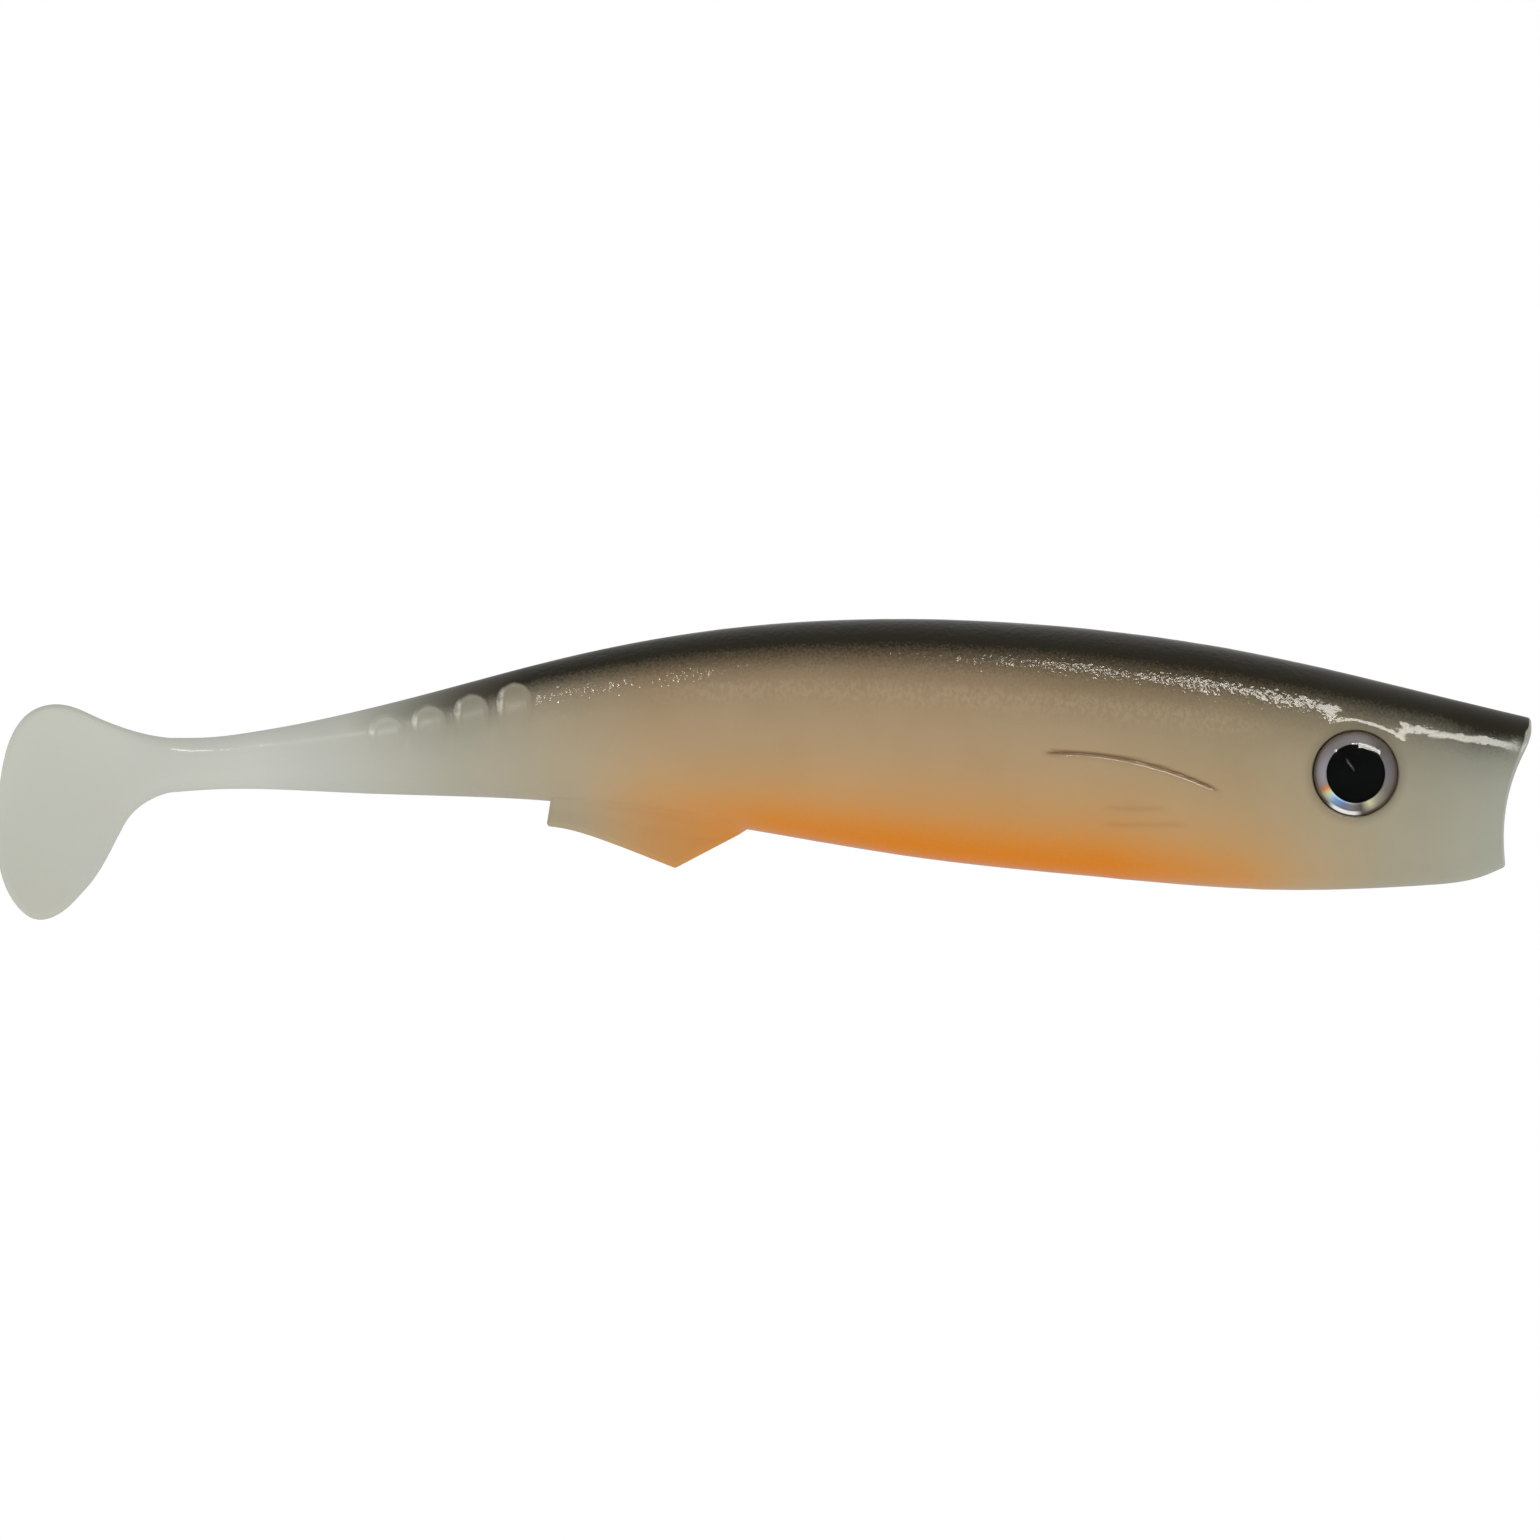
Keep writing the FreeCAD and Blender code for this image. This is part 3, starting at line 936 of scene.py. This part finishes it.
class Skin(Nodes):
    """The soft plastic's node tree, with what every part of it reads from the skin."""

    def __init__(self):
        super().__init__(bpy.data.materials.new("soft_plastic"))
        self.rest = self.attribute("rest", "Vector")
        self.rise = self.attribute("rise")
        self.x = self.add("SeparateXYZ", {0: self.rest})
        self.place = self.math("DIVIDE", self.math("SUBTRACT", self.x, REAR_END), FRONT_END - REAR_END)

    def along(self, stops):
        """A ramp along the lure, from stops at stations in millimetres."""
        length = FRONT_END - REAR_END
        return self.ramp(self.place, [((x - REAR_END) / length, value) for x, value in stops])

    def between(self, value, rising, falling):
        """1 where a value is between two slopes, each given as where it is 0 and where it is 1."""
        return self.times(self.remap(value, *rising), self.remap(value, *falling))


def flank_colour(skin):
    """The unsprayed plastic: darker towards the back, clouded, and with a band of painted sheen in light strokes.
    """
    flank = skin.along([(x, srgb(*colour)) for x, *colour in FLANK_COLOURS])
    tail_tone, torso_tone = skin.ramp(skin.rise, TAIL_RISE), skin.ramp(skin.rise, VEIL_RISE)
    tone = skin.mix(skin.remap(skin.x, -136.0, -118.0), tail_tone, torso_tone)
    flank = skin.mix(1.0, flank, tone, "MULTIPLY")
    cloud = skin.noise(skin.rest, 0.09, 3.0)
    flank = skin.mix(skin.remap(cloud, 0.3, 0.7, 0.0, 0.09), flank, CLOUD)
    lengthened = skin.add("VectorMath", {0: skin.rest, 1: (1.0, 1.0, 0.6)}, operation="MULTIPLY")
    # Painted sheen: light strokes in a band along the flank under the back
    sheen_strokes = skin.remap(skin.noise(lengthened, 2.2, 3.0, 0.6), 0.4, 0.62, 0.0, 0.17)
    band = skin.between(skin.rise, (0.6, 0.69), (0.76, 0.71))
    stretch = skin.between(skin.x, (-104.0, -90.0), (-22.0, -34.0))
    return skin.mix(skin.times(band, stretch, sheen_strokes), flank, SHEEN_STREAK)


def bare_dish(skin):
    """1 on the dish and on the edge of its rim, which the spray doesn't reach."""
    from_rim = skin.times(skin.attribute("rim"), skin.remap(skin.rise, 0.1, 0.9, 1.9, 1.0))
    from_rim = skin.math("ADD", from_rim, skin.remap(skin.rise, 0.88, 0.97, 0.0, 0.75))
    return skin.remap(from_rim, 0.85, 0.6)


def airbrushed(skin, colour, dish):
    """Sprays the belly orange and the back dark. The flutes and the dish stay bare."""
    speckle = skin.noise(skin.rest, 3.2, 2.0, 0.7)
    drift = skin.times(skin.math("SUBTRACT", speckle, 0.5), 0.1)
    sprayed = skin.math("ADD", skin.rise, drift)
    orange = skin.times(skin.ramp(sprayed, ORANGE_RISE), skin.along(ORANGE_STRENGTH))
    at_tail = skin.remap(skin.x, -120.0, -112.0, 0.06, 0.0)
    at_nose = skin.remap(skin.x, -7.0, -2.0, 0.0, 0.04)
    lower = skin.math("ADD", at_tail, at_nose)
    back = skin.times(skin.ramp(skin.math("ADD", sprayed, lower), BACK_RISE), skin.along(BACK_STRENGTH))
    flute = skin.remap(skin.attribute("flute"), 0.25, 0.75, 0.0, 0.85)
    back = skin.times(back, skin.math("SUBTRACT", 1.0, skin.math("MAXIMUM", flute, dish)))
    colour = skin.mix(orange, colour, skin.mix(orange, AMBER, ORANGE))
    return skin.mix(back, colour, BACK)


def paled_and_shaded(skin, colour, dish):
    """Pales the dish, and paints shade into the crease, along its wrinkles and round the eye sockets."""
    colour = skin.mix(skin.times(dish, 0.5), colour, BARE)
    # Painted shade along the bottom of the pectoral crease
    colour = skin.mix(skin.times(skin.attribute("groove"), 0.75), colour, CREASE_SHADE)
    # Painted shade along the wrinkles' shallow grooves
    colour = skin.mix(skin.times(skin.attribute("wrinkle"), 0.25), colour, WRINKLE_SHADE)
    # Painted shade round the eye sockets, darkest at their edge
    return skin.mix(skin.remap(skin.attribute("socket"), 6.4, 5.1, 0.0, 0.3), colour, SOCKET_SHADE)


def spray_grain(skin):
    """The spray's fine grain, which breaks up the gloss on the flank, over a slight orange peel."""
    sprayed = skin.between(skin.x, (-114.0, -111.5), (-17.0, -24.0))
    strength = skin.remap(skin.times(skin.remap(skin.rise, 0.5, 0.68), sprayed), 0, 1, 0.22, 1.0)
    grain = skin.bump(skin.times(skin.noise(skin.rest, 1.6, 1.5, 0.5), strength), 0.062)
    return skin.bump(skin.noise(skin.rest, 0.55, 2.0), 0.03, grain)


def soft_plastic():
    """Tinted soft plastic with an airbrushed back and belly."""
    skin = Skin()
    dish = bare_dish(skin)
    colour = paled_and_shaded(skin, airbrushed(skin, flank_colour(skin), dish), dish)
    patchy = skin.remap(skin.noise(skin.rest, 1.1, 3.0), 0.3, 0.7, -0.01, 0.03)
    roughness = skin.math("ADD", patchy, skin.along(ROUGHNESS))
    inputs = {"Base Color": colour, "Roughness": roughness, "IOR": 1.45, "Normal": spray_grain(skin)}
    return skin.surface(skin.add("BsdfPrincipled", inputs))


# Colours against the angle round the pupil, in degrees: the foil's silver greys, with the rainbow and pale patches
# that the foil reflects painted in
FOIL_COLOURS_AND_REFLECTIONS = [
    (0, 152, 147, 154),
    (28, 138, 133, 138),
    (48, 112, 106, 104),
    (75, 158, 153, 154),
    (130, 150, 142, 144),
    (180, 186, 182, 196),
    (198, 190, 176, 178),
    (206, 255, 160, 84),
    (214, 255, 250, 190),
    (223, 226, 250, 255),
    (232, 150, 205, 255),
    (247, 140, 160, 220),
    (262, 160, 158, 162),
    (279, 118, 112, 106),
    (288, 214, 210, 176),
    (295, 255, 255, 214),
    (308, 206, 198, 172),
    (330, 160, 156, 146),
    (360, 152, 147, 154),
]
# Painted shade towards the foil's outer edge, the printed edge's colour, and a painted glint
FOIL_SHADE, FOIL_EDGE, FOIL_GLINT = srgb(128, 116, 108), srgb(122, 110, 98), srgb(255, 252, 248)


def eye_nodes(name):
    """A new material's nodes, the place in the eye, and how far across and up from its axis it is."""
    nodes = new_material(name)
    place = nodes.attribute("eye", "Vector")
    split = nodes.add("SeparateXYZ", {0: place}).node
    return nodes, place, split.outputs[0], split.outputs[1]


def eye_foil():
    """Silver foil: painted reflections in colours that turn round the pupil, painted shade towards its outer edge,
    a dark printed edge and a painted glint low down, which also glows.
    """
    nodes, place, across, up = eye_nodes("eye_foil")
    angle = nodes.math("ARCTAN2", up, across)
    turn = nodes.math("FRACT", nodes.math("ADD", nodes.math("DIVIDE", angle, 2 * math.pi), 1.0))
    sheen = nodes.ramp(turn, [(at / 360, srgb(*colour)) for at, *colour in FOIL_COLOURS_AND_REFLECTIONS])
    radius = nodes.math("SQRT", nodes.math("ADD", nodes.times(across, across), nodes.times(up, up)))
    edge = nodes.remap(radius, 4.5, 4.74)
    rising, falling = nodes.remap(turn, 0.62, 0.67), nodes.remap(turn, 0.78, 0.74)
    # A painted glint low down on the foil's outer edge
    glint = nodes.times(rising, falling, nodes.remap(radius, 4.4, 4.5))
    # Painted shade: the foil darkens towards its outer edge
    shaded = nodes.mix(nodes.remap(radius, 3.9, 4.6, 0.0, 0.45), sheen, FOIL_SHADE)
    colour = nodes.mix(glint, nodes.mix(edge, shaded, FOIL_EDGE), FOIL_GLINT)
    inputs = {
        "Base Color": colour,
        "Metallic": nodes.math("SUBTRACT", 0.2, nodes.times(edge, 0.2)),
        "Roughness": 0.28,
        "Normal": nodes.bump(nodes.noise(place, 9.0, 2.0), 0.004),
        # The painted glint also glows
        "Emission Color": FOIL_GLINT,
        "Emission Strength": nodes.times(glint, 0.28),
    }
    return nodes.surface(nodes.add("BsdfPrincipled", inputs))


def pupil_ink():
    """Gloss black print with one faint handling scratch."""
    nodes, place, across, up = eye_nodes("pupil_ink")
    along = nodes.math("ADD", across, 0.65)
    above = nodes.math("SUBTRACT", up, 1.0)
    off = nodes.math("ABSOLUTE", nodes.math("ADD", above, nodes.times(along, 1.3)))
    beyond = nodes.math("ABSOLUTE", along)
    patchy = nodes.remap(nodes.noise(place, 1.6, 4.0, 0.7), 0.35, 0.7, 0.2, 1.0)
    scratch = nodes.times(nodes.remap(off, 0.34, 0.05), nodes.remap(beyond, 0.6, 0.3), patchy)
    colour = nodes.mix(scratch, srgb(7, 8, 10), srgb(112, 112, 108))
    inputs = {"Base Color": colour, "Roughness": nodes.remap(scratch, 0, 1, 0.12, 0.35)}
    return nodes.surface(nodes.add("BsdfPrincipled", inputs))


def clear_resin():
    """The clear lens: all that shows of it is its gloss."""
    nodes = new_material("clear_resin")
    place = nodes.attribute("eye", "Vector")
    ripple = nodes.bump(nodes.noise(place, 0.6, 1.0), 0.01)
    outside = nodes.math("SUBTRACT", 1.0, nodes.add("NewGeometry", output="Backfacing"))
    share = nodes.times(nodes.add("Fresnel", {"IOR": 1.52, "Normal": ripple}), outside)
    clear = nodes.add("BsdfTransparent", {"Color": (0.99, 0.99, 0.985, 1.0)})
    gloss = nodes.add("BsdfAnisotropic", {"Color": (1, 1, 1, 1), "Roughness": 0.06, "Normal": ripple})
    return nodes.surface(nodes.add("MixShader", {0: share, 1: clear, 2: gloss}))


def foam_tape():
    """The grey foam tape that the eye is stuck down with."""
    nodes = new_material("foam_tape")
    place = nodes.add("TexCoord", output="Object")
    cells = nodes.add("TexVoronoi", {"Vector": place, "Scale": 4000.0})
    colour = nodes.mix(cells, srgb(150, 140, 128), srgb(120, 110, 100))
    inputs = {"Base Color": colour, "Roughness": 0.85, "Normal": nodes.bump(cells, 0.05)}
    return nodes.surface(nodes.add("BsdfPrincipled", inputs))


# ---- stage


# The world's brightness from below to above, and in the gloss from front to back
WORLD_LIT = (1.35, 0.62)
WORLD_MIRRORED = (0.03, 0.45)

# The stage is in metres
STRIP_AWAY = 0.5
STRIP_AIMS_AT = 0.005
STRIP_COLOUR = (1.0, 0.97, 0.9)

# Each strip light's name, start and end along X, elevation in degrees, height, radiance
STRIPS = [
    ("nose_strip", 0.07, 0.5, 51.0, 0.08, 13.0),
    ("flank_strip", -0.03, 0.07, 53.0, 0.013, 27.0),
    ("tail_strip", -0.275, -0.247, 44.0, 0.034, 26.0),
]


def white_world():
    """White to the camera, brighter below to the lure, and dark in front of it in the gloss."""
    world = bpy.data.worlds.new("white")
    nodes = Nodes(world, "ShaderNodeOutputWorld")
    split = nodes.add("SeparateXYZ", {0: nodes.add("TexCoord")}).node
    path = nodes.add("LightPath").node
    lit = nodes.remap(split.outputs["Z"], -0.3, 0.8, *WORLD_LIT)
    mirrored = nodes.remap(split.outputs["Y"], -0.3, 0.7, *WORLD_MIRRORED)
    strength = nodes.mix(path.outputs["Is Glossy Ray"], lit, mirrored)
    strength = nodes.mix(path.outputs["Is Camera Ray"], strength, (1, 1, 1, 1))
    nodes.surface(nodes.add("Background", {"Color": strength}))
    bpy.context.scene.world = world


FLOOR_BELOW = 0.14
FLOOR_RADIUS = 0.42
FLOOR_TURNS = 96
FLOOR_RINGS = 26


def floor():
    """A plain pale floor, well below the lure, that fades out before its edge."""
    middle = (cad_box[0] + cad_box[1]) / 2
    shares = np.linspace(0.02, 1, FLOOR_RINGS)
    turns = np.linspace(0, 2 * np.pi, FLOOR_TURNS, endpoint=False)
    spokes = np.stack([np.cos(turns), np.sin(turns), np.zeros(FLOOR_TURNS)], axis=-1)
    disc = np.concatenate([[[0, 0, 0]], (shares[:, None, None] * spokes).reshape(-1, 3)])
    points = disc * FLOOR_RADIUS / MM + [middle.x / MM, 0, (cad_box[0].z - FLOOR_BELOW) / MM]
    faces = [(0, 1 + i, 1 + (i + 1) % FLOOR_TURNS) for i in range(FLOOR_TURNS)]
    faces += (grid_faces(FLOOR_RINGS, FLOOR_TURNS)[:, [0, 3, 2, 1]] + 1).tolist()
    sheet = mesh_object("floor", points, faces, attributes={"away": np.hypot(disc[:, 0], disc[:, 1])})
    nodes = new_material("pale_floor")
    above = nodes.math("SUBTRACT", 1.0, nodes.add("NewGeometry", output="Backfacing"))
    fade = nodes.times(nodes.remap(nodes.attribute("away"), 0.35, 1.0, 1.0, 0.0), above)
    glow = nodes.add("Emission", {"Color": (0.5, 0.5, 0.495, 1)})
    pale = nodes.add("AddShader", {0: glow, 1: nodes.add("BsdfDiffuse", {"Color": (0.5, 0.5, 0.5, 1)})})
    clear = nodes.add("BsdfTransparent")
    sheet.data.materials.append(nodes.surface(nodes.add("MixShader", {0: fade, 1: clear, 2: pale})))
    sheet.visible_glossy = False


CAMERA_AT = (-0.0852, -3.008, 0.0027)
CAMERA_LENS = 600
CAMERA_SENSOR = 36


def camera():
    """Level with the lure and square to its right flank."""
    view = bpy.data.cameras.new("camera")
    view.lens = CAMERA_LENS
    view.sensor_width = CAMERA_SENSOR
    obj = bpy.data.objects.new("camera", view)
    obj.location = CAMERA_AT
    obj.rotation_euler = (math.pi / 2, 0, 0)
    bpy.context.scene.collection.objects.link(obj)
    bpy.context.scene.camera = obj


def lights():
    """Strip softboxes over the camera's side, which only show in the gloss."""
    for name, start, end, elevation, height, radiance in STRIPS:
        middle, width, up = (start + end) / 2, end - start, math.radians(elevation)
        strip = bpy.data.lights.new(name, "AREA")
        strip.shape = "RECTANGLE"
        strip.size, strip.size_y = width, height
        strip.energy = radiance * math.pi * width * height
        strip.color = STRIP_COLOUR
        obj = bpy.data.objects.new(name, strip)
        obj.location = (middle, -STRIP_AWAY * math.cos(up), STRIP_AWAY * math.sin(up))
        obj.visible_camera = obj.visible_diffuse = False
        aim = Vector((middle, 0, STRIP_AIMS_AT)) - obj.location
        obj.rotation_euler = aim.to_track_quat("-Z", "Y").to_euler()
        bpy.context.scene.collection.objects.link(obj)


# ---- assembly


def dress(piece, material):
    piece.data.materials.clear()
    piece.data.materials.append(material)


def join_skins(skins, plastic):
    """Gives each piece of skin its finish, puts the trunk's skin on the trunk's body, and hides the CAD solids
    that each piece stands for.
    """
    for skin in skins.values():
        dress(skin, plastic)
    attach(skins["trunk_skin"], "trunk")
    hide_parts("trunk")
    stands_for = [
        ["flute_web_1", "tail_rib_1"],
        ["flute_web_2", "tail_rib_2"],
        ["flute_web_3", "tail_rib_3"],
        ["flute_web_4", "stem_front"],
        ["stem_front", "stem_web"],
        ["stem_rear", "wrist_web", "tail_paddle"],
    ]
    hinges = [*FLUTE_X, JOINT_X["stem_flex"], JOINT_X["tail_kick"]]
    reaches = [2.4] * 4 + [4.0, 4.2]
    for i, (name, hinge, reach) in enumerate(zip(SKINS[1:], hinges, reaches)):
        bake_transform(skins[name])
        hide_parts(*stands_for[i])


def join_fin(fin, plastic):
    dress(fin, plastic)
    sway = next(joint for joint in frame["joints"] if joint["name"] == "fin_sway")
    down = Vector(sway["axis"]).cross(Vector((0, 1, 0))).normalized()
    down = down if down.z < 0 else -down
    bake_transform(fin)
    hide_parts("anal_fin", "anal_fin_web")


def join_eyes():
    ink, foil_metal, resin, foam = pupil_ink(), eye_foil(), clear_resin(), foam_tape()
    for side in ("left", "right"):
        lens, foil, pupil = eye_pieces(side)
        finishes = [
            (lens, resin, "eye_lens", f"{side}_eye_lens"),
            (foil, foil_metal, "eye_foil", f"{side}_iris_foil"),
            (pupil, ink, "eye_pupil", f"{side}_pupil"),
        ]
        for piece, material, slot, node in finishes:
            dress(piece, material)
            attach(piece, "trunk")
            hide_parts(node)
        pad = frame["nodes"][f"{side}_eye_pad"]
        pad.data.materials.clear()
        pad.data.materials.append(foam)


soft_body = soft_plastic()
join_skins(skin_pieces(), soft_body)
join_fin(fin_piece(), soft_body)
join_eyes()
white_world()
floor()
lights()
camera()
bpy.context.scene.view_settings.view_transform = "Standard"
